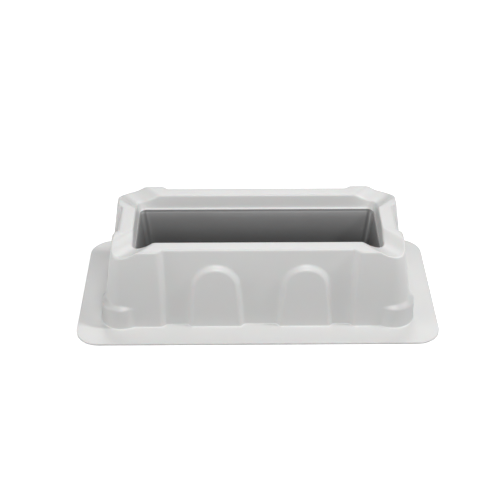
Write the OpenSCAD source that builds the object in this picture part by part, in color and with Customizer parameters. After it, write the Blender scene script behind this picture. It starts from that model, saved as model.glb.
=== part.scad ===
// Reagent reservoir: one thin plastic sheet, vacuum formed and trimmed.
// X runs along the trough, Y across it and Z up, in millimetres. The origin lies on the
// surface that the flange rests on, below the middle of the trough.
//
// The sheet is drawn as the space between two skins. skin(0) is its upper side, and
// skin(-sheet_t) is the same form drawn in by the sheet's thickness, its lower side.

/* [Sheet] */
// Thickness of the formed sheet
sheet_t = 0.6; // [0.4:0.05:0.8]
// Radius where the rim rolls over into an outer wall
edge_r = 0.6; // [0.4:0.1:1.6]
// Radius where a flat top rolls over into the basin or the trough
lip_r = 0.5; // [0.2:0.1:0.8]
// Size of the fillet where a wall meets the flange
foot_fillet = 0.6; // [0.4:0.1:1.2]

/* [Trough] */
// Length of the trough at its ledge, for eight pipette tips 9 mm apart
trough_l = 75; // [72:0.5:110]
// Width of the trough at its ledge
trough_w = 23; // [18:0.5:36]
// Radius of the trough's and the basin's corners in plan
trough_corner_r = 2.2; // [1:0.1:4]
// Lean of the trough's end walls, in degrees
trough_end_draft = 9.5; // [4:0.5:16]
// Radius of the rounded bottom of the V
floor_r = 3; // [2:0.1:4]
// Clear height under the bottom of the V
floor_gap = 2; // [0.5:0.1:5]

/* [Rim] */
// Height of the rim above the surface that the flange rests on
body_h = 28.4; // [24:0.2:40]
// Depth of the basin, from the rim down to the ledge
basin_h = 4.9; // [3:0.1:8]
// How far the basin's wall leans out between the ledge and the rim
basin_lean = 0.5; // [0.2:0.1:1.5]
// Width of the ledge along the long sides
ledge_side = 1.3; // [0.8:0.1:4]
// Width of the ledge at the ends
ledge_end = 0.4; // [0.4:0.1:4]
// Width of the rim along the long sides
rim_side = 4.3; // [3.5:0.1:8]
// Width of the rim at the ends
rim_end = 4.6; // [3.5:0.1:8]

/* [Outer walls] */
// Lean of the long walls, in degrees
side_draft = 1.8; // [0.5:0.1:8]
// Lean of the end walls, in degrees
end_draft = 8.5; // [1:0.5:12]
// How far the corner posts stand out from the long walls
post_out_side = 1.4; // [0.8:0.1:3]
// How far the corner posts stand out from the end walls
post_out_end = 1.6; // [0.8:0.1:3]
// Length of a corner post along the long wall, at the rim
post_l = 14.9; // [12:0.1:20]
// Width of a corner post along the end wall, at the rim
post_w = 11.8; // [9:0.2:14]
// Lean of the posts' inner sides, in degrees
post_step_draft = 1; // [0:0.5:5]
// Radius of the posts' outer corners in plan, at the rim
post_rim_r = 4; // [2.5:0.1:6]
// Radius of the posts' outer corners in plan, at the foot
post_foot_r = 6.8; // [2.5:0.1:8]
// Radius of the posts' step corners in plan
post_step_r = 1.2; // [1:0.1:1.4]

/* [Arches] */
// Distance between the middles of the two arches on a long wall
arch_pitch = 27.7; // [20:0.1:34]
// How far each pair of arches stands to the right of the body's middle
arch_shift = 0.8; // [-2:0.1:2]
// Radius of an arch where it meets the wall
arch_r = 7.5; // [4:0.1:9]
// Height of an arch's top above the resting surface
arch_h = 22.8; // [16:0.1:23]
// How far an arch stands out from the wall
arch_relief = 1.3; // [0.6:0.1:2]
// How much wider each side of an arch is at its foot
arch_spread = 1.4; // [0:0.1:2]

/* [Foot bosses] */
// Radius of the round boss at the foot of each post
boss_r = 6.8; // [4:0.1:8]
// Height of the bosses
boss_h = 8.8; // [4:0.1:12]
// How far a boss stands out past the post's long side, at the foot
boss_out_side = 1.1; // [0.2:0.1:2]
// How far a boss stands out past the post's end, at the foot
boss_out_end = 0.4; // [0.2:0.1:2]
// Lean of a boss's side, in degrees
boss_draft = 2; // [1:0.5:8]
// Radius where a boss's top rolls over into its side
boss_edge_r = 1.4; // [0.8:0.1:1.6]

/* [Spouts] */
// How far the pouring spouts dip below the rim
spout_drop = 2.3; // [1:0.1:3.5]
// Radius of a spout's round channel
spout_r = 6.5; // [4:0.1:9]

/* [Flange] */
// Reach of the flange past the posts' feet on the long sides
flange_side = 8.1; // [4:0.1:15]
// Reach of the flange past the posts' feet at the ends
flange_end = 7.7; // [4:0.1:15]
// Radius of the flange's corners in plan
flange_r = 7.5; // [2:0.5:14]

/* [Hidden] */
$fn = 32;
large_fn = 48;
ball_fn = 24;
slice_t = 0.01;
least_r = 0.1;
arch_root = 1;
fillet_root = 0.3;
cut_depth = 1;
cut_reach = 20;
spout_turn = 48;
spout_back = 8;
ledge_z = body_h - basin_h;
floor_z = floor_gap + sheet_t;
spout_axis_z = body_h - spout_drop + spout_r;
basin_x = trough_l / 2 + ledge_end;
basin_y = trough_w / 2 + ledge_side;
rim_x = basin_x + basin_lean + rim_end;
rim_y = basin_y + basin_lean + rim_side;
post_in_x = rim_x + post_out_end - post_l;
post_in_y = rim_y + post_out_side - post_w;
foot_x = rim_x + post_out_end + body_h * tan(end_draft);
foot_y = rim_y + post_out_side + body_h * tan(side_draft);
floor_end_x = trough_l / 2 - (ledge_z - floor_z - floor_r) * tan(trough_end_draft) - floor_r;

// Half length and half width of the body between its posts, at height z
function wall_x(z) = rim_x + (body_h - z) * tan(end_draft);
function wall_y(z) = rim_y + (body_h - z) * tan(side_draft);

// Height at which a skin's walls start: the lower skin passes through the flange
function start_z(g) = g < 0 ? -cut_depth : 0;

// A thin slice of a solid at height z, to hull with others. The plan that is its child reads
// $at, the height that its leaning sides are worked out for, and $out, how far it is moved out.
module slice(z, $at = 0, $out = 0) {
    translate([0, 0, z]) linear_extrude(slice_t) children();
}

// The same thing in each of the four quadrants
module each_quadrant() {
    for (mx = [0, 1], my = [0, 1]) mirror([mx, 0, 0]) mirror([0, my, 0]) children();
}

// Rectangle of half sizes x and y with round corners
module round_rect(x, y, r) {
    offset(r) square([2 * (x - r), 2 * (y - r)], center = true);
}

// A hollow form pushed up out of the sheet: its child is its plan, top is its height, and g
// moves its skin out. Its top edge rolls over by roll and its foot flares into the flange.
module raised_form(top, g, roll) {
    hull() {
        slice(start_z(g), start_z(g), g) children();
        for (a = [0:30:90]) {
            below_top = roll * (1 - sin(a));
            slice(top + g - below_top - slice_t, top - below_top, g - roll * (1 - cos(a))) children();
        }
    }
    hull() {
        slice(sheet_t + g + foot_fillet + fillet_root, foot_fillet, g - fillet_root) children();
        slice(sheet_t + g - slice_t, 0, g + foot_fillet) children();
    }
}

// Plan of the body between its posts
module wall_plan() {
    round_rect(wall_x($at) + $out, wall_y($at) + $out, post_step_r);
}

// Plan of the corner post in the first quadrant
module post_plan() {
    step_lean = (body_h - $at) * tan(post_step_draft);
    x_out = wall_x($at) + post_out_end + $out;
    y_out = wall_y($at) + post_out_side + $out;
    x_in = post_in_x - step_lean - $out;
    y_in = post_in_y - step_lean - $out;
    r = max(post_rim_r + (post_foot_r - post_rim_r) * (1 - $at / body_h) + $out, least_r);
    r_step = max(post_step_r + $out, least_r);
    hull() {
        translate([x_out - r, y_out - r]) circle(r);
        translate([x_in + r_step, y_out - r_step]) circle(r_step);
        translate([x_out - r_step, y_in + r_step]) circle(r_step);
        translate([x_in, y_in]) square(r_step);
    }
}

// Plan of the foot boss in the first quadrant
module boss_plan() {
    translate([foot_x + boss_out_end - boss_r, foot_y + boss_out_side - boss_r])
        circle(boss_r + $out - $at * tan(boss_draft), $fn = large_fn);
}

// Outline of an arch in its own plane, with its feet at start
module arch_outline(r, start) {
    hull() {
        translate([0, arch_h - arch_r]) circle(r, $fn = large_fn);
        translate([-r - arch_spread, start]) square([2 * (r + arch_spread), slice_t]);
    }
}

// The arch on the long wall in the first quadrant, with sides sloped at 45 degrees
module arch(g) {
    slope_shift = g * (sqrt(2) - 1);
    hull() for (out = [-arch_root, arch_relief])
        translate([arch_pitch / 2, wall_y(0) + out + g, 0])
            rotate([90 + side_draft, 0, 0])
                linear_extrude(slice_t) arch_outline(arch_r - out + slope_shift, start_z(g));
}

// All outer walls, moved out by g
module walls(g) {
    raised_form(body_h, g, edge_r) wall_plan();
    each_quadrant() {
        raised_form(body_h, g, edge_r) post_plan();
        raised_form(boss_h, g, boss_edge_r) boss_plan();
    }
    translate([arch_shift, 0, 0]) each_quadrant() arch(g);
}

// The V-shaped trough below its ledge
module trough(g) {
    x = trough_l / 2 - g;
    y = trough_w / 2 - g / cos(atan(trough_w / 2 / (ledge_z - floor_z)));
    r = trough_corner_r - g;
    hull() {
        slice(ledge_z) round_rect(x, y, r);
        for (side = [-1, 1])
            translate([side * floor_end_x, 0, floor_z + floor_r]) sphere(floor_r - g, $fn = ball_fn);
    }
    hull() {
        slice(ledge_z - lip_r + g) round_rect(x, y, r);
        slice(ledge_z + g) round_rect(x + lip_r, y + lip_r, r + lip_r);
    }
}

// The shallow basin between the ledge and the rim
module basin(g) {
    x = basin_x - g;
    y = basin_y - g;
    r = trough_corner_r - g;
    hull() {
        slice(ledge_z + g) round_rect(x, y, r);
        slice(body_h + cut_depth) round_rect(x + basin_lean, y + basin_lean, r);
    }
    hull() {
        slice(body_h + g - lip_r) round_rect(x + basin_lean, y + basin_lean, r);
        slice(body_h + g) round_rect(x + basin_lean + lip_r, y + basin_lean + lip_r, r + lip_r);
        slice(body_h + cut_depth) round_rect(x + basin_lean + lip_r, y + basin_lean + lip_r, r + lip_r);
    }
}

// The pouring spout in the first quadrant: a round channel that runs out over the basin's corner
module spout(g) {
    translate([basin_x, basin_y, spout_axis_z])
        rotate([0, 90, spout_turn])
            translate([0, 0, -spout_back])
                cylinder(r = spout_r - g, h = spout_back + cut_reach, $fn = large_fn);
}

// One side of the sheet, moved out by g
module skin(g) {
    difference() {
        walls(g);
        trough(g);
        basin(g);
        each_quadrant() spout(g);
    }
}

// The flat flange that the body stands on
module flange() {
    linear_extrude(sheet_t) round_rect(foot_x + flange_end, foot_y + flange_side, flange_r);
}

module reservoir() {
    color("whitesmoke") difference() {
        union() {
            skin(0);
            flange();
        }
        skin(-sheet_t);
    }
}

reservoir();
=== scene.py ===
# %% [markdown]
# # A vacuum-formed reagent reservoir
# A reagent reservoir holds the liquid that an eight-channel pipette draws up. This one is a single
# sheet of white polystyrene. The sheet is heated until it is soft, drawn over a mould by vacuum and
# trimmed round its flange. Every wall, spout and foot is the same thin sheet, so the whole object
# is one piece: a sheet that goes up the outside, over the rim and down into the trough.

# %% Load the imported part
import math
import bmesh
import bpy
import numpy as np
from mathutils import Matrix, Vector


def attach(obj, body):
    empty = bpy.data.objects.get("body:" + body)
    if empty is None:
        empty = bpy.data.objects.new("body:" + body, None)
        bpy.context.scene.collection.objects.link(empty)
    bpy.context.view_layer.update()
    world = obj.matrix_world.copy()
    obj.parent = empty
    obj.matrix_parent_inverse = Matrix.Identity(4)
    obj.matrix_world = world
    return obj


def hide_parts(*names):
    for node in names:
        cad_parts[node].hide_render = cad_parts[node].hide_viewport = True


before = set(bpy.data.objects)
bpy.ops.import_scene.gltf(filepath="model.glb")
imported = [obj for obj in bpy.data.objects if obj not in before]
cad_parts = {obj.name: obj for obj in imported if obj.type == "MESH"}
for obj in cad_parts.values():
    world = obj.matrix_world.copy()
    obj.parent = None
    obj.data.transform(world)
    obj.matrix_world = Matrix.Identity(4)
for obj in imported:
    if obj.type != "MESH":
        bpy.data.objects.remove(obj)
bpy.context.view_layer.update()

# %% [markdown]
# ## The sizes of the mould
# The sheet is made in millimetres, which are easy to read beside a drawing, and turned to metres at
# the very end. X runs along the trough, Y across it and Z up. The flange lies on Z = 0.
# All sizes below are those of the sheet's upper side, because that is the side that the eye sees.

# %% Sizes shared by the whole sheet, in millimetres
SHEET = 0.6                        # thickness of the formed sheet
RIM_Z = 28.4                       # height of the rim
LEDGE_Z = 23.5                     # height of the ledge between the basin and the trough
RIM_HALF = (43.0, 17.6)            # half length and half width of the body at the rim, between the posts
WALL_LEAN = (math.tan(math.radians(8.5)), math.tan(math.radians(1.8)))   # lean of the end and long walls
POST_R_RIM, POST_R_FOOT = 4.0, 6.8   # radius of the posts' outer corners
POST_OUT = (1.6, 1.4)              # how far the posts stand out from the end and long walls
FLANGE_HALF, FLANGE_R = (56.54, 27.985), 7.5
BASIN_HALF, BASIN_R, BASIN_LEAN = (37.9, 12.8), 2.2, 0.5
TROUGH_HALF, TROUGH_R = (37.5, 11.5), 2.2
EDGE_R, LIP_R, FOOT_R = 0.6, 0.5, 0.45   # rolled outer edge, rolled inner lip, fillet at the foot


def wall_half(z):
    """Half length and half width of the body between its posts, at height z."""
    return [RIM_HALF[k] + (RIM_Z - z) * WALL_LEAN[k] for k in (0, 1)]


def post_r(z):
    """Radius of the outer corners at height z."""
    return POST_R_RIM + (POST_R_FOOT - POST_R_RIM) * (1 - z / RIM_Z)


foot_half = [a + b for a, b in zip(wall_half(0), POST_OUT)]
print("outside of the posts at the foot, mm:", [round(c, 2) for c in foot_half])

# %% [markdown]
# ## Rings
# The plain drawn sheet has no corner that turns under, so it can be built from closed rings that lie
# one inside the other: the first is the trimmed edge of the flange and the last is the bottom line of
# the trough. Each ring is a rectangle with round corners. All rings have the same number of points,
# so neighbours join up into quads. The points stand closer together where a mould feature will be
# pressed into the sheet: the arches, the sides of the posts and the corners.

# %% Where the points of one quarter of a ring stand
def spread(start, stop, count):
    """count values from start towards stop, without stop itself."""
    return list(np.linspace(start, stop, count, endpoint=False))


REF_LONG, REF_END = 40.1, 14.8     # straight half length and half width of the ring at the rim
along_long = (spread(0, 4, 3) + spread(4, 24.2, 42) + spread(24.2, 28.4, 3)
              + spread(28.4, 31, 9) + spread(31, REF_LONG, 12))
along_end = spread(REF_END, 8.6, 6) + spread(8.6, 5.8, 9) + spread(5.8, 0, 4)
long_share = np.array(along_long) / REF_LONG      # 0 in the middle of the long side, 1 at its corner
end_share = np.array(along_end) / REF_END         # 1 at the corner, 0 in the middle of the end
corner_turn = np.radians(spread(90, 0, 14))       # the corner's arc
quarter = len(long_share) + len(corner_turn) + len(end_share)
print("points in a ring:", 4 * quarter)


# %% One ring
def close_ring(points):
    """Turns the points of one quarter, from the rear side's middle to the end, into a whole ring."""
    middle_end = points[-1:] * (1, 0, 1)
    half = np.concatenate([points, middle_end, points[:0:-1] * (1, -1, 1)])
    return np.concatenate([half, half * (-1, -1, 1)])      # the left half is the right one, turned round


def ring(half, r, z):
    """A ring with its half length and half width, the radius of its corners and its height."""
    straight = (half[0] - r, half[1] - r)
    x = np.concatenate([long_share * straight[0], straight[0] + r * np.cos(corner_turn),
                        np.full(len(end_share), half[0])])
    y = np.concatenate([np.full(len(long_share), half[1]), straight[1] + r * np.sin(corner_turn),
                        end_share * straight[1]])
    return close_ring(np.stack([x, y, np.full(quarter, z)], axis=1))


print("one ring at the rim has", len(ring(RIM_HALF, POST_R_RIM, RIM_Z)), "points")

# %% [markdown]
# ## From the flange to the bottom of the trough
# Each ring also carries three numbers that the mould features use later. `reach` says how much the
# posts, arches and feet push it outwards: all on the outer walls, and less and less across the rim
# and the flange. `dip` says how far it goes down where a spout is pressed in. `flare` is how far it
# lies outside the foot of the wall, so that a fillet moves with its wall.

# %% Rings of the flange and the outer walls
rings, reach, dip, flare = [], [], [], []


def add_ring(points, reach_share, dip_share, outside=0.0):
    rings.append(points)
    reach.append(reach_share)
    dip.append(dip_share)
    flare.append(outside)


def between(a, b, share):
    return [p + (q - p) * share for p, q in zip(a, b)]


FLANGE_REACH = 8                   # about how far the flange reaches past the posts' feet
foot_z = SHEET + FOOT_R
foot_ring_half = [c + FOOT_R for c in wall_half(foot_z)]
for share in (0, 0.04, 0.2, 0.4, 0.58, 0.74, 0.88):
    r = FLANGE_R + (post_r(foot_z) + FOOT_R - FLANGE_R) * share
    half = between(FLANGE_HALF, foot_ring_half, share)
    add_ring(ring(half, r, SHEET), share, 0, FOOT_R + FLANGE_REACH * (1 - share))
for turn in np.radians(np.linspace(0, 90, 6)):
    outside = FOOT_R * (1 - math.sin(turn))
    half = [c + outside for c in wall_half(foot_z)]
    height = SHEET + FOOT_R * (1 - math.cos(turn))
    add_ring(ring(half, post_r(foot_z) + outside, height), 1, 0, outside)

DIP_FROM_Z = 20                    # above this height a spout draws the wall down with it
wall_heights = (spread(1.95, 6.8, 9) + spread(6.8, 9.4, 9) + spread(9.4, 14, 6) + spread(14, 23.4, 22)
                + spread(23.4, RIM_Z - EDGE_R, 5))
for z in wall_heights:
    dip_share = float(np.clip((z - DIP_FROM_Z) / (RIM_Z - EDGE_R - DIP_FROM_Z), 0, 1))
    add_ring(ring(wall_half(z), post_r(z), z), 1, dip_share ** 2)
for turn in np.radians(np.linspace(0, 90, 7)):
    inside = EDGE_R * (1 - math.cos(turn))
    z = RIM_Z - EDGE_R * (1 - math.sin(turn))
    add_ring(ring([c - inside for c in wall_half(z)], POST_R_RIM - inside, z), 1, 1)
print("rings up to the rim:", len(rings))

# %% Rings of the rim, the basin and its ledge
edge_half = [c - EDGE_R for c in RIM_HALF]
lip_half = [c + BASIN_LEAN + LIP_R for c in BASIN_HALF]
for share in (0.2, 0.4, 0.6, 0.8):
    half = between(edge_half, lip_half, share)
    r = POST_R_RIM - EDGE_R + (BASIN_R + LIP_R - POST_R_RIM + EDGE_R) * share
    add_ring(ring(half, r, RIM_Z), 1 - share, 1)
for turn in np.radians(np.linspace(0, 90, 6)):
    outside = LIP_R * (1 - math.sin(turn))
    z = RIM_Z - LIP_R * (1 - math.cos(turn))
    half = [c + BASIN_LEAN * (z - LEDGE_Z) / (RIM_Z - LEDGE_Z) + outside for c in BASIN_HALF]
    add_ring(ring(half, BASIN_R + outside, z), 0, 1)
BAND_END = 0.5                     # the basin's straight wall ends this high above the ledge
lip_bottom = RIM_Z - LIP_R
for share in (0.2, 0.4, 0.6, 0.8, 1.0):
    z = lip_bottom + (LEDGE_Z + BAND_END - lip_bottom) * share
    half = [c + BASIN_LEAN * (z - LEDGE_Z) / (RIM_Z - LEDGE_Z) for c in BASIN_HALF]
    add_ring(ring(half, BASIN_R, z), 0, 1 - share)
# across the ledge: how far in at the ends, how far in on the long sides, and the height over the ledge
ledge_steps = [(0.02, 0.05, 0.25), (0.03, 0.18, 0.1), (0.06, 0.42, 0.0), (0.11, 0.62, -0.01),
               (0.18, 0.85, -0.04), (0.27, 1.05, -0.13), (0.37, 1.26, -0.36), (0.46, 1.45, -0.7)]
for in_end, in_side, over in ledge_steps:
    r = BASIN_R + (TROUGH_R - BASIN_R) * in_side / ledge_steps[-1][1]
    add_ring(ring([BASIN_HALF[0] - in_end, BASIN_HALF[1] - in_side], r, LEDGE_Z + over), 0, 0)
trough_from = len(rings) - 6       # the dark field starts at this ring, on the flat of the ledge
print("rings down to the trough:", len(rings))

# %% [markdown]
# ## The trough
# The trough is a V with a rounded bottom, so that the last drops gather along one line. Its walls
# run straight down until they touch a ball of 3 mm radius at each end, and a round bottom of the
# same radius between the balls. The last ring has no width at all: it is the bottom line.

# %% Rings of the trough
FLOOR_GAP = 2.0                    # clear height under the trough
BALL_R, BALL_X = 3.0, 31.5
BALL_Z = SHEET + FLOOR_GAP + BALL_R
touch_end, touch_side = math.radians(9.4), math.radians(24.6)     # where a wall touches the ball
others = np.zeros(len(corner_turn) + len(end_share))
# each point of a quarter, seen from the ball: its place along the bottom, the way it lies, how far round
bottom_share = np.concatenate([long_share, others + 1])
bottom_way = np.concatenate([np.full(len(long_share), math.pi / 2), corner_turn, np.zeros(len(end_share))])


def ball_ring(turn_end, turn_side):
    """A ring on the rounded bottom, turned down by one angle at its ends and another at its sides."""
    turn = turn_end + (turn_side - turn_end) * np.sin(bottom_way) ** 2
    width = BALL_R * np.cos(turn)
    points = np.stack([bottom_share * BALL_X + np.cos(bottom_way) * width,
                       np.sin(bottom_way) * width, BALL_Z - BALL_R * np.sin(turn)], axis=1)
    return close_ring(points)


top_ring, touch_ring = rings[-1], ball_ring(touch_end, touch_side)
for share in np.linspace(0, 1, 13)[1:]:
    add_ring(top_ring + (touch_ring - top_ring) * share, 0, 0)
down = math.pi / 2
for share in np.linspace(0, 1, 8)[1:]:
    turn_end = touch_end + (down - touch_end) * share
    turn_side = touch_side + (down - touch_side) * share
    add_ring(ball_ring(turn_end, turn_side), 0, 0)
print("rings in all:", len(rings), "- bottom of the trough at", round(rings[-1][0, 2], 2), "mm")

# %% [markdown]
# ## The plain drawn sheet
# Neighbouring rings are joined by quads. At the bottom line, and where the end walls run to a point,
# many points fall together, so they are merged. The walls of the trough are marked: that field is
# dark on the upper side, and the mark lets the material find it.

# %% Join the rings into one skin
def join_rings(name):
    count = len(rings[0])
    points = np.concatenate(rings)
    index = np.arange(len(rings) * count).reshape(len(rings), count)
    after = np.roll(index, -1, axis=1)
    quads = np.stack([index[:-1], index[1:], after[1:], after[:-1]], axis=-1).reshape(-1, 4)
    mesh = bpy.data.meshes.new(name)
    mesh.from_pydata(points.tolist(), [], quads.tolist())
    for attribute, values in (("reach", reach), ("dip", dip), ("flare", flare)):
        layer = mesh.attributes.new(attribute, "FLOAT", "POINT")
        layer.data.foreach_set("value", np.repeat(values, count).astype(np.float32))
    layer = mesh.attributes.new("trough_field", "BOOLEAN", "FACE")
    in_trough = np.repeat(np.arange(len(rings) - 1) >= trough_from, count)
    layer.data.foreach_set("value", in_trough)
    work = bmesh.new()
    work.from_mesh(mesh)
    bmesh.ops.remove_doubles(work, verts=work.verts, dist=0.002)
    for face in work.faces:
        face.smooth = True
    work.to_mesh(mesh)
    work.free()
    return mesh


skin = bpy.data.objects.new("drawn_sheet", join_rings("drawn_sheet"))
bpy.context.scene.collection.objects.link(skin)
flange_face = min(skin.data.polygons, key=lambda face: face.center.z)
print("faces:", len(skin.data.polygons), "- flange faces up:", flange_face.normal.z > 0.9)

# %% [markdown]
# ## One helper for nodes
# Materials and Geometry Nodes are both built here in the script. This one function adds a node of any
# kind, sets its properties, and feeds each input with a plain value or with another node's socket.

# %% Add a node
def add_node(tree, kind, feeds=(), label="", **settings):
    node = tree.nodes.new(kind)
    node.label = label
    for name, value in settings.items():
        setattr(node, name, value)
    for key, value in (feeds.items() if isinstance(feeds, dict) else enumerate(feeds)):
        if isinstance(value, bpy.types.NodeSocket):
            tree.links.new(value, node.inputs[key])
        else:
            node.inputs[key].default_value = value
    return node


def linear(hex_colour):
    """Turns an sRGB hex value, as colour cards give it, to the linear colour that Blender works in."""
    parts = [int(hex_colour[k:k + 2], 16) / 255 for k in (1, 3, 5)]
    return (*[c / 12.92 if c <= 0.04045 else ((c + 0.055) / 1.055) ** 2.4 for c in parts], 1.0)


print("card white in linear light:", [round(c, 3) for c in linear("#F2F2F0")[:3]])

# %% [markdown]
# ## White polystyrene
# The sheet is high-impact polystyrene, extruded and then thermoformed. Rubber particles and white
# pigment make it an even, warm-neutral white that lets a little light in. Heating leaves a satin
# skin: soft highlights, never a mirror. Its index of refraction is 1.59. Up close the skin has a
# very fine orange peel, and its gloss changes a little from place to place.

# %% Material: thermoformed polystyrene, white
CLOUD_TONE = 0.965                 # tone of the pigment's clouds against the full colour


def polystyrene(name, hex_colour, roughness):
    material = bpy.data.materials.new(name)
    material.use_nodes = True
    tree = material.node_tree
    tree.nodes.clear()
    place = add_node(tree, "ShaderNodeTexCoord").outputs["Object"]
    # cloudy pigment: patches about 14 mm across, hardly darker than the rest
    clouds = add_node(tree, "ShaderNodeTexNoise", {"Vector": place, "Scale": 70, "Detail": 3},
                      "pigment clouds")
    full = linear(hex_colour)
    cloudy = (*[CLOUD_TONE * part for part in full[:3]], 1.0)
    tone = add_node(tree, "ShaderNodeMix", {0: clouds.outputs["Fac"], 6: cloudy, 7: full}, "tone",
                    data_type="RGBA")
    # painted shade: the colour darkens by a fifth down the walls towards the foot, where shade falls near the
    # floor, and is full again on the flange
    up = add_node(tree, "ShaderNodeSeparateXYZ", [place]).outputs["Z"]
    down_wall = add_node(tree, "ShaderNodeMapRange", {
        "Value": up, "From Min": 0.025, "From Max": 0.001, "To Min": 1.0, "To Max": 0.80}, "down the wall")
    on_flange = add_node(tree, "ShaderNodeMapRange", {
        "Value": up, "From Min": 0.0008, "From Max": 0.0016, "To Min": 1.0, "To Max": 0.0}, "white flange")
    painted_wall_shade = add_node(tree, "ShaderNodeMath", [down_wall.outputs[0], on_flange.outputs[0]], "painted_wall_shade",
                         operation="MAXIMUM")
    # the pigment's colour times the painted shade down the walls
    tone = add_node(tree, "ShaderNodeVectorMath", {0: tone.outputs[2], "Scale": painted_wall_shade.outputs[0]},
                    "pigment", operation="SCALE")
    # the satin skin: gloss changes over about 4 mm
    drawn = add_node(tree, "ShaderNodeTexNoise", {"Vector": place, "Scale": 240, "Detail": 2}, "draw marks")
    satin = add_node(tree, "ShaderNodeMapRange", {"Value": drawn.outputs["Fac"], "To Min": roughness - 0.05,
                                                  "To Max": roughness + 0.07}, "satin")
    # orange peel: real grain of about 0.3 mm, drawn at 0.7 mm so that it shows
    peel = add_node(tree, "ShaderNodeTexNoise", {"Vector": place, "Scale": 1400, "Detail": 2}, "orange peel")
    bump = add_node(tree, "ShaderNodeBump", {
        "Height": peel.outputs["Fac"], "Strength": 0.05, "Distance": 0.0002})
    shader = add_node(tree, "ShaderNodeBsdfPrincipled", {
        "Base Color": tone.outputs[0], "Roughness": satin.outputs[0], "Normal": bump.outputs[0],
        "IOR": 1.59, "Subsurface Weight": 0.12, "Subsurface Scale": 0.0006}, name)
    add_node(tree, "ShaderNodeOutputMaterial", {"Surface": shader.outputs[0]})
    return material, tree, tone, place


white_ps, *_ = polystyrene("high_impact_polystyrene_white", "#E2E2E1", 0.36)
print("made", white_ps.name)

# %% [markdown]
# ## The dark trough, with painted shade
# Below the ledge the inside of the trough is a dark grey field, with painted shade: darkest along the
# bottom of the V, where shade gathers, and lighter at the ledge and on the end walls, where light falls.
# It is the same sheet with the same satin skin, so it starts from the same material, and only its colour
# follows the height and the distance to the ends.

# %% Material: the same polystyrene, dark grey in the trough, with painted shade
END_LEAN = math.tan(math.radians(9.5))            # lean of the trough's end walls
trough_ps, tree, tone, place = polystyrene("high_impact_polystyrene_dark_field_with_painted_shade", "#FFFFFF", 0.36)
axes = add_node(tree, "ShaderNodeSeparateXYZ", [place])
height = add_node(tree, "ShaderNodeMapRange", {"Value": axes.outputs["Z"], "From Min": 0.003,
                                               "From Max": LEDGE_Z / 1000}, "height in the trough")
# painted light and shade: lightest just under the ledge, where light falls, darker down into the V, where
# shade gathers
painted_top_light = add_node(tree, "ShaderNodeMath", [height.outputs[0], 8.0], "lightens most at the top",
                    operation="POWER")
painted_depth_shade = add_node(tree, "ShaderNodeMix", {0: painted_top_light.outputs[0], 6: linear("#515151"), 7: linear("#777777")},
                  "darker towards the bottom", data_type="RGBA")
beside = add_node(tree, "ShaderNodeMath", [axes.outputs["X"]], operation="ABSOLUTE")
# on an end wall this sum is the same at every height, because the wall leans by END_LEAN
to_end = add_node(tree, "ShaderNodeMath", [axes.outputs["Z"], -END_LEAN, beside.outputs[0]],
                  operation="MULTIPLY_ADD")
end_wall = (TROUGH_HALF[0] - LEDGE_Z * END_LEAN) / 1000
near_end = add_node(tree, "ShaderNodeMapRange", {"Value": to_end.outputs[0], "From Min": end_wall - 0.0014,
                                                 "From Max": end_wall - 0.0002}, "end walls",
                    interpolation_type="SMOOTHSTEP")
# painted light: the upper end walls take a lighter grey, where more light falls on them
upper = add_node(tree, "ShaderNodeMath", [height.outputs[0], 3.0], "upper part", operation="POWER")
painted_end_light = add_node(tree, "ShaderNodeMath", [near_end.outputs[0], upper.outputs[0]], "upper end walls",
                     operation="MULTIPLY")
field = add_node(tree, "ShaderNodeMix", {0: painted_end_light.outputs[0], 6: painted_depth_shade.outputs[2], 7: linear("#949494")},
                 "lighter end walls", data_type="RGBA")
# the white material's tone brings in the pigment clouds and the painted shade down the walls
mottled = add_node(tree, "ShaderNodeMix", {0: 1.0, 6: field.outputs[2], 7: tone.outputs[0]}, "pigment clouds",
                   data_type="RGBA", blend_type="MULTIPLY")
shader = next(node for node in tree.nodes if node.type == "BSDF_PRINCIPLED")
tree.links.new(mottled.outputs[2], shader.inputs["Base Color"])
print("made", trough_ps.name)

# %% [markdown]
# ## What the mould presses into the sheet
# The posts, arches, feet and spouts each follow a rule: how far a point of the sheet is pushed depends
# only on where it lies. That suits Geometry Nodes. The tree works on the plain drawn sheet, and all its
# sizes are named inputs, so the part can be changed without touching a formula. Because the part is
# the same left and right, front and back, each rule reads the distance from the middle and serves all
# four quarters. Soft minimum and maximum round every step, as warm plastic rounds it.

# %% Start the tree and name its inputs
BOSS_R, BOSS_OUT = 6.8, (0.4, 1.1)     # a boss's radius, and how far it stands out past a post's end and side
features = bpy.data.node_groups.new("mould_features", "GeometryNodeTree")
mould_sizes = {                                   # in millimetres, and degrees for the turn
    "Post Side X": 28.9, "Post Side Y": 6.7, "Post Out X": POST_OUT[0], "Post Out Y": POST_OUT[1],
    "Arch Shift": 0.8, "Arch Middle": 13.85, "Arch Radius": 7.5, "Arch Height": 22.8, "Arch Relief": 1.3,
    "Arch Spread": 1.4,
    "Foot Middle X": foot_half[0] + BOSS_OUT[0] - BOSS_R,
    "Foot Middle Y": foot_half[1] + BOSS_OUT[1] - BOSS_R,
    "Foot Radius": BOSS_R, "Foot Height": 8.8,
    "Spout Corner X": BASIN_HALF[0], "Spout Corner Y": BASIN_HALF[1], "Spout Turn": 48.0,
    "Spout Drop": 2.3, "Spout Radius": 6.5,
    "Waviness": 0.05, "Seed": 7.0}
features.interface.new_socket(name="Geometry", in_out="INPUT", socket_type="NodeSocketGeometry")
inputs = {name: features.interface.new_socket(name=name, in_out="INPUT", socket_type="NodeSocketFloat")
          for name in mould_sizes}
for name in ("Sheet Material", "Field Material"):
    inputs[name] = features.interface.new_socket(name=name, in_out="INPUT", socket_type="NodeSocketMaterial")
features.interface.new_socket(name="Geometry", in_out="OUTPUT", socket_type="NodeSocketGeometry")
start = add_node(features, "NodeGroupInput")
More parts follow.
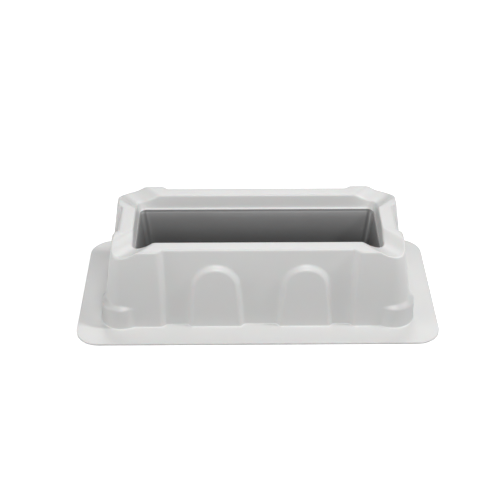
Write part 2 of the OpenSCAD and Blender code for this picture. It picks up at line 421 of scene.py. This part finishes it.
position = add_node(features, "GeometryNodeInputPosition").outputs[0]
split = add_node(features, "ShaderNodeSeparateXYZ", [position])
known = {name: start.outputs[name] for name in mould_sizes}
known.update(x=split.outputs["X"], y=split.outputs["Y"], z=split.outputs["Z"])
for name in ("reach", "dip", "flare"):
    known[name] = add_node(features, "GeometryNodeInputNamedAttribute", {"Name": name}, name,
                           data_type="FLOAT").outputs[0]
print("named inputs:", len(inputs))

# %% [markdown]
# A formula is written as a short table: the name of a result, the operation of a Math node, and its
# terms. A term is a number, an input or an earlier result. Each row becomes one labelled Math node.
# Each feature then moves the sheet with its own Set Position, so the next one starts from there.

# %% Turn a table into nodes, and move the sheet
def work_out(rows):
    for result, operation, *terms in rows:
        known[result] = add_node(features, "ShaderNodeMath", [known.get(term, term) for term in terms],
                                 result, operation=operation).outputs[0]


def move_sheet(geometry, label, x=0.0, y=0.0, z=0.0):
    offset = add_node(features, "ShaderNodeCombineXYZ", [known.get(term, term) for term in (x, y, z)])
    return add_node(features, "GeometryNodeSetPosition", {"Geometry": geometry, "Offset": offset.outputs[0]},
                    label).outputs[0]


work_out([("from middle x", "ABSOLUTE", "x"), ("from middle y", "ABSOLUTE", "y"),
          ("side x", "SIGN", "x"), ("side y", "SIGN", "y")])
print("results known so far:", len(known))

# %% [markdown]
# ## Corner posts
# The four corners stand out from the walls as square posts, which stiffen the thin sheet. On the mould
# they are steps cut into one block. They could be modelled as four boxes and joined to the body, but
# then the seams and the thickness of the sheet would need repair. Pushing the points of one skin keeps
# the sheet whole: a straight ramp gives the step its slope, and a soft minimum and maximum round it.

# %% Posts: the four corners stand out from the walls between them
POST_LEAN = math.tan(math.radians(1))
STEP_SLOPE_SIDE, STEP_SLOPE_END, STEP_ROUND = 0.9, 1.1, 0.6   # rise over run, and the rounding in mm
SLIDE_FROM, SLIDE_OVER = (33, 9), (7, 4)   # in X and Y: where points start to slide, and over how many mm
work_out([
    ("below rim", "SUBTRACT", RIM_Z, "z"),
    ("lean", "MULTIPLY", "below rim", POST_LEAN),
    # on the long walls: how far past the post's side, and so how far out
    ("edge x", "SUBTRACT", "Post Side X", "lean"),
    ("past x", "SUBTRACT", "from middle x", "edge x"),
    ("climb y", "MULTIPLY", "past x", STEP_SLOPE_SIDE),
    ("climb y", "SMOOTH_MIN", "climb y", "Post Out Y", STEP_ROUND),
    ("climb y", "SMOOTH_MAX", "climb y", 0.0, STEP_ROUND),
    # the same on the end walls
    ("edge y", "SUBTRACT", "Post Side Y", "lean"),
    ("past y", "SUBTRACT", "from middle y", "edge y"),
    ("climb x", "MULTIPLY", "past y", STEP_SLOPE_END),
    ("climb x", "SMOOTH_MIN", "climb x", "Post Out X", STEP_ROUND),
    ("climb x", "SMOOTH_MAX", "climb x", 0.0, STEP_ROUND),
    # each wall's points slide along it only near the corner, so the post's sides stay where they are
    ("near y", "MULTIPLY_ADD", "from middle y", 1 / SLIDE_OVER[1], -SLIDE_FROM[1] / SLIDE_OVER[1]),
    ("near y", "MINIMUM", "near y", 1.0), ("near y", "MAXIMUM", "near y", 0.0),
    ("near x", "MULTIPLY_ADD", "from middle x", 1 / SLIDE_OVER[0], -SLIDE_FROM[0] / SLIDE_OVER[0]),
    ("near x", "MINIMUM", "near x", 1.0), ("near x", "MAXIMUM", "near x", 0.0),
    ("post x", "MULTIPLY", "climb x", "near x"), ("post x", "MULTIPLY", "post x", "reach"),
    ("post x", "MULTIPLY", "post x", "side x"),
    ("post y", "MULTIPLY", "climb y", "near y"), ("post y", "MULTIPLY", "post y", "reach"),
    ("post y", "MULTIPLY", "post y", "side y"),
])
sheet = move_sheet(start.outputs["Geometry"], "posts", x="post x", y="post y")
print("nodes with the posts:", len(features.nodes))

# %% [markdown]
# ## Arches
# Two shallow arches on each long wall are ribs that keep it from bowing. They stand a little to the
# right of the middle. Over its centre an arch is measured from a point and below it from a line, so
# one distance gives the round head and the straight legs, which spread towards the foot. A boolean with
# a solid arch would give the same outline, but would leave sharp edges and thin slivers to mend.

# %% Arches: two on each long wall, with sides that slope at about 45 degrees
ARCH_SLOPE, ARCH_ROUND = 1.1, 0.2      # rise over run of an arch's sides, and the rounding in mm
work_out([
    ("beside", "SUBTRACT", "x", "Arch Shift"), ("beside", "ABSOLUTE", "beside"),
    ("beside", "SUBTRACT", "beside", "Arch Middle"),
    ("head z", "SUBTRACT", "Arch Height", "Arch Radius"),
    ("over head", "SUBTRACT", "z", "head z"),
    ("up", "MAXIMUM", "over head", 0.0),
    ("down", "MINIMUM", "over head", 0.0),
    ("splay", "MULTIPLY", "down", "Arch Spread"),
    ("splay", "DIVIDE", "splay", "head z"),
    ("up", "MULTIPLY", "up", "up"),
    ("away", "MULTIPLY_ADD", "beside", "beside", "up"),
    ("away", "SQRT", "away"),
    ("inside", "SUBTRACT", "Arch Radius", "away"),
    ("inside", "SUBTRACT", "inside", "splay"),
    ("relief", "MULTIPLY", "inside", ARCH_SLOPE),
    ("relief", "SMOOTH_MIN", "relief", "Arch Relief", ARCH_ROUND),
    ("relief", "SMOOTH_MAX", "relief", 0.0, ARCH_ROUND),
    ("relief", "MULTIPLY", "relief", "reach"),
    ("arch y", "MULTIPLY", "relief", "side y"),
])
sheet = move_sheet(sheet, "arches", y="arch y")
print("nodes with the arches:", len(features.nodes))

# %% [markdown]
# ## Foot bosses
# A round boss swells out of the foot of each post and ends in a sloping shoulder that catches the light
# as a bright crescent. It is a turned shape, so the rule works round the boss's own upright axis: a
# point nearer to the axis than the boss's radius is pushed straight out to it. The shoulder is a second
# radius that shrinks with height, and the smaller of the two wins.

# %% Feet: a round boss swells out of the foot of each post
BOSS_LEAN = math.tan(math.radians(2))
SHOULDER_IN, SHOULDER_ROUND, SWELL_ROUND = 1.5, 0.5, 0.15   # how far in the shoulder starts, and roundings
work_out([
    ("foot x", "SUBTRACT", "from middle x", "Foot Middle X"),
    ("foot y", "SUBTRACT", "from middle y", "Foot Middle Y"),
    ("radius", "MULTIPLY", "foot x", "foot x"),
    ("radius", "MULTIPLY_ADD", "foot y", "foot y", "radius"),
    ("radius", "SQRT", "radius"),
    ("wall radius", "SUBTRACT", "radius", "flare"),
    ("boss radius", "MULTIPLY_ADD", "z", -BOSS_LEAN, "Foot Radius"),
    # the shoulder slopes at 45 degrees: a millimetre lower, it is a millimetre wider
    ("shoulder", "SUBTRACT", "Foot Height", "z"),
    ("shoulder", "ADD", "shoulder", "Foot Radius"),
    ("shoulder", "SUBTRACT", "shoulder", SHOULDER_IN),
    ("boss radius", "SMOOTH_MIN", "boss radius", "shoulder", SHOULDER_ROUND),
    ("swell", "SUBTRACT", "boss radius", "wall radius"),
    ("swell", "SMOOTH_MAX", "swell", 0.0, SWELL_ROUND),
    ("swell", "MULTIPLY", "swell", "reach"),
    ("swell", "DIVIDE", "swell", "radius"),
    ("foot x", "MULTIPLY", "foot x", "swell"), ("foot x", "MULTIPLY", "foot x", "side x"),
    ("foot y", "MULTIPLY", "foot y", "swell"), ("foot y", "MULTIPLY", "foot y", "side y"),
])
sheet = move_sheet(sheet, "feet", x="foot x", y="foot y")
print("nodes with the feet:", len(features.nodes))

# %% [markdown]
# ## Pouring spouts
# A shallow round channel leads out over each corner of the basin, so that what is left in the trough
# can be poured back. It is the hollow that a round bar leaves when it is laid across the corner and
# pressed down, so its depth at any point is the height of a circle's arc. Cutting a real cylinder out
# of the mesh would tear the rim open; lowering the points by the same depth keeps it closed.

# %% Spouts: a shallow channel dips out over each corner of the basin
SPOUT_ROUND = 0.7                      # rounding where the channel runs out into the rim, in mm
work_out([
    ("turn", "RADIANS", "Spout Turn"), ("cosine", "COSINE", "turn"), ("sine", "SINE", "turn"),
    ("out x", "SUBTRACT", "from middle x", "Spout Corner X"),
    ("out y", "SUBTRACT", "from middle y", "Spout Corner Y"),
    ("minus sine", "MULTIPLY", "sine", -1.0),
    ("across", "MULTIPLY", "out y", "cosine"), ("across", "MULTIPLY_ADD", "out x", "minus sine", "across"),
    # the channel is round: its floor lies on a cylinder whose axis is above the rim
    ("across", "MULTIPLY", "across", "across"),
    ("channel", "MULTIPLY", "Spout Radius", "Spout Radius"),
    ("channel", "SUBTRACT", "channel", "across"), ("channel", "MAXIMUM", "channel", 0.0),
    ("channel", "SQRT", "channel"),
    ("axis height", "SUBTRACT", "Spout Radius", "Spout Drop"),
    ("depth", "SUBTRACT", "channel", "axis height"),
    ("depth", "SMOOTH_MAX", "depth", 0.0, SPOUT_ROUND),
    ("depth", "MULTIPLY", "depth", "dip"),
    ("spout z", "MULTIPLY", "depth", -1.0),
])
sheet = move_sheet(sheet, "spouts", z="spout z")
print("nodes with the spouts:", len(features.nodes))

# %% [markdown]
# Formed sheet is never quite flat. It is drawn a few hundredths of a millimetre this way and that,
# over distances of about 20 mm, and highlights show it. The walls move inwards by this much and the
# flange upwards, so the sheet stays inside its outer sizes.

# %% Waviness, then metres, then materials
WAVE_TURN_Z = 1.6                      # below this height the sheet waves upwards, and above it inwards
noise = add_node(features, "ShaderNodeTexNoise", {"Vector": position, "W": known["Seed"], "Scale": 1 / 18,
                                                  "Detail": 1.0}, "waviness", noise_dimensions="4D")
known["noise"] = noise.outputs["Fac"]
work_out([("way", "SUBTRACT", WAVE_TURN_Z, "z"),
          ("way", "MINIMUM", "way", 1.0), ("way", "MAXIMUM", "way", -1.0),
          ("wave", "MULTIPLY", "noise", "Waviness"), ("wave", "MULTIPLY", "wave", "way")])
normal = add_node(features, "GeometryNodeInputNormal").outputs[0]
wave = add_node(features, "ShaderNodeVectorMath", {0: normal, "Scale": known["wave"]}, operation="SCALE")
sheet = add_node(features, "GeometryNodeSetPosition", {"Geometry": sheet, "Offset": wave.outputs[0]},
                 "waviness").outputs[0]
metres = add_node(features, "ShaderNodeVectorMath", {0: position, "Scale": 0.001}, operation="SCALE")
sheet = add_node(features, "GeometryNodeSetPosition", {"Geometry": sheet, "Position": metres.outputs[0]},
                 "metres").outputs[0]
in_field = add_node(features, "GeometryNodeInputNamedAttribute", {"Name": "trough_field"},
                    data_type="BOOLEAN")
sheet = add_node(features, "GeometryNodeRealizeInstances", [sheet]).outputs[0]
sheet = add_node(features, "GeometryNodeSetMaterial", {
    "Geometry": sheet, "Material": start.outputs["Sheet Material"]}).outputs[0]
sheet = add_node(features, "GeometryNodeSetMaterial", {
    "Geometry": sheet, "Selection": in_field.outputs[0],
    "Material": start.outputs["Field Material"]}).outputs[0]
add_node(features, "NodeGroupOutput", [sheet])
print("nodes in the tree:", len(features.nodes))

# %% [markdown]
# ## Thickness and the trimmed edge
# The skin so far is the upper side. Solidify gives it its thickness downwards, and its lower side takes
# the material one slot earlier, so the dark field stays on the upper side alone. The only true corners
# are at the edge of the flange, where the sheet was cut, and a very small bevel breaks them.
# The result is taken as a plain mesh, and the working object goes.

# %% Evaluate the sheet
for material in (white_ps, trough_ps):
    skin.data.materials.append(material)
press = skin.modifiers.new("mould_features", "NODES")
press.node_group = features
for name, value in mould_sizes.items():
    press[inputs[name].identifier] = value
press[inputs["Sheet Material"].identifier] = white_ps
press[inputs["Field Material"].identifier] = trough_ps
wall = skin.modifiers.new("thickness", "SOLIDIFY")
wall.thickness, wall.offset, wall.use_even_offset, wall.material_offset = SHEET / 1000, -1, True, -1
trim = skin.modifiers.new("trimmed_edge", "BEVEL")
trim.width, trim.segments, trim.limit_method, trim.angle_limit = 0.0001, 2, "ANGLE", math.radians(60)

evaluated = skin.evaluated_get(bpy.context.evaluated_depsgraph_get())
plain = bpy.data.meshes.new_from_object(evaluated)
plain.name = "reservoir_sheet"
bpy.data.meshes.remove(skin.data)                 # takes the working object with it
working = {"reach", "dip", "flare", "trough_field"}
for name in [layer.name for layer in plain.attributes if layer.name in working]:
    plain.attributes.remove(plain.attributes[name])
reservoir = bpy.data.objects.new("reservoir_sheet", plain)
bpy.context.scene.collection.objects.link(reservoir)
plain.calc_loop_triangles()
print("triangles:", len(plain.loop_triangles), "- materials:", [m.name for m in plain.materials])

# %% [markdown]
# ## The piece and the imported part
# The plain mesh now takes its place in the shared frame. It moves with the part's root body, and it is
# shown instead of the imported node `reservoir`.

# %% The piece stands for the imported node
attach(reservoir, "root")
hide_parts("reservoir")
print("placed", reservoir.name, "at", tuple(reservoir.location))

# %% [markdown]
# ## Floor
# The part stands on white backdrop paper that runs on behind it. The paper glows faintly, which keeps
# it white around the soft shadows, as a lit backdrop does. It throws no light back up on the part: the
# walls carry a painted shade towards the foot, and light from below would hide it.

# %% Floor
floor_mesh = bpy.data.meshes.new("floor")
floor_half = 0.6
corners = [(x * floor_half, y * floor_half, 0) for x, y in ((-1, -1), (1, -1), (1, 1), (-1, 1))]
floor_mesh.from_pydata(corners, [], [(0, 1, 2, 3)])
floor = bpy.data.objects.new("floor", floor_mesh)
floor.location.z = -0.00005       # a hair below the flange, so that the two faces stay apart
bpy.context.scene.collection.objects.link(floor)
paper = bpy.data.materials.new("white_backdrop_paper")
paper.use_nodes = True
paper_shader = paper.node_tree.nodes["Principled BSDF"]
paper_shader.inputs["Base Color"].default_value = linear("#F6F6F6")
paper_shader.inputs["Roughness"].default_value = 0.9
paper_shader.inputs["Specular IOR Level"].default_value = 0.1
paper_shader.inputs["Emission Color"].default_value = (1, 1, 1, 1)
paper_shader.inputs["Emission Strength"].default_value = 0.5
floor_mesh.materials.append(paper)
floor.visible_diffuse = False     # the paper throws no light back up on the walls
print("floor, mm across:", round(2000 * floor_half))

# %% [markdown]
# ## Light
# The scene is lit as a small product studio is, with broad soft boxes. Two in front light the long
# walls, and one behind lights the flat tops. A smaller key light on the right stands round the corner
# from the front, so the ramps that face right shine and the body throws a soft shadow over the left
# of the flange. Two weak ones on the left open that shadow. White surroundings are seen by the camera
# but add only a faint sky, so the folds of the sheet stay readable.

# %% Lights: azimuth 0 is on the right, 90 behind the part, -90 in front of it
LAMP_DISTANCE, FAINT_SKY = 0.85, 0.15


def soft_light(name, azimuth, elevation, size, watts):
    data = bpy.data.lights.new(name, "AREA")
    data.shape, data.size, data.energy = "DISK", size, watts
    lamp = bpy.data.objects.new(name, data)
    turn, lift = math.radians(azimuth), math.radians(elevation)
    toward = Vector((math.cos(lift) * math.cos(turn), math.cos(lift) * math.sin(turn), math.sin(lift)))
    lamp.location = LAMP_DISTANCE * toward
    lamp.rotation_euler = toward.to_track_quat("Z", "Y").to_euler()
    bpy.context.scene.collection.objects.link(lamp)


for name, azimuth, elevation, size, watts in (
        ("front", -85, 38, 0.45, 2.75), ("front_low", -90, 20, 0.45, 0.75), ("key", -8, 45, 0.12, 2.95),
        ("left", 205, 40, 0.40, 0.75), ("left_low", 190, 12, 0.25, 1.3), ("rear", 90, 45, 0.50, 1.6)):
    soft_light(name, azimuth, elevation, size, watts)
world = bpy.data.worlds.new("pale_sky")
world.use_nodes = True
sky = world.node_tree.nodes["Background"]
sky.inputs["Color"].default_value = (1, 1, 1, 1)
seen = add_node(world.node_tree, "ShaderNodeLightPath").outputs["Is Camera Ray"]
bright = add_node(world.node_tree, "ShaderNodeMath", [seen, 1 - FAINT_SKY, FAINT_SKY],
                  "white paper, faint sky", operation="MULTIPLY_ADD")
world.node_tree.links.new(bright.outputs[0], sky.inputs["Strength"])
bpy.context.scene.world = world
bpy.context.scene.view_settings.view_transform = "Standard"
print("lights:", [lamp.name for lamp in bpy.data.lights])

# %% [markdown]
# ## Camera
# The camera stands in front, looks down at 35 degrees and is 35 cm away with a long lens, so the ends
# of the part hardly close in with distance. A small yaw and roll stand for a camera set up by hand.

# %% Camera
TILT, YAW, ROLL = math.radians(35), math.radians(0.6017), math.radians(-0.0746)
DISTANCE, AIM = 0.351801, Vector((-0.002322, 0, 0.015999))
forward = Vector((0, math.cos(TILT), -math.sin(TILT)))
upward = Vector((0, math.sin(TILT), math.cos(TILT)))
sideways = Vector((1, 0, 0))
swing = Matrix.Rotation(-YAW, 3, "Z")
stand = swing @ (AIM - DISTANCE * forward)
forward, upward, sideways = swing @ forward, swing @ upward, swing @ sideways
cos_roll, sin_roll = math.cos(ROLL), math.sin(ROLL)
right, up = cos_roll * sideways - sin_roll * upward, sin_roll * sideways + cos_roll * upward
camera_data = bpy.data.cameras.new("camera")
camera_data.lens, camera_data.sensor_width, camera_data.clip_start = 79.253, 36.0, 0.01
camera = bpy.data.objects.new("camera", camera_data)
placed = Matrix((right, up, -forward)).transposed().to_4x4()
placed.translation = stand
camera.matrix_world = placed
bpy.context.scene.collection.objects.link(camera)
bpy.context.scene.camera = camera
print("camera height, mm:", round(1000 * stand.z))
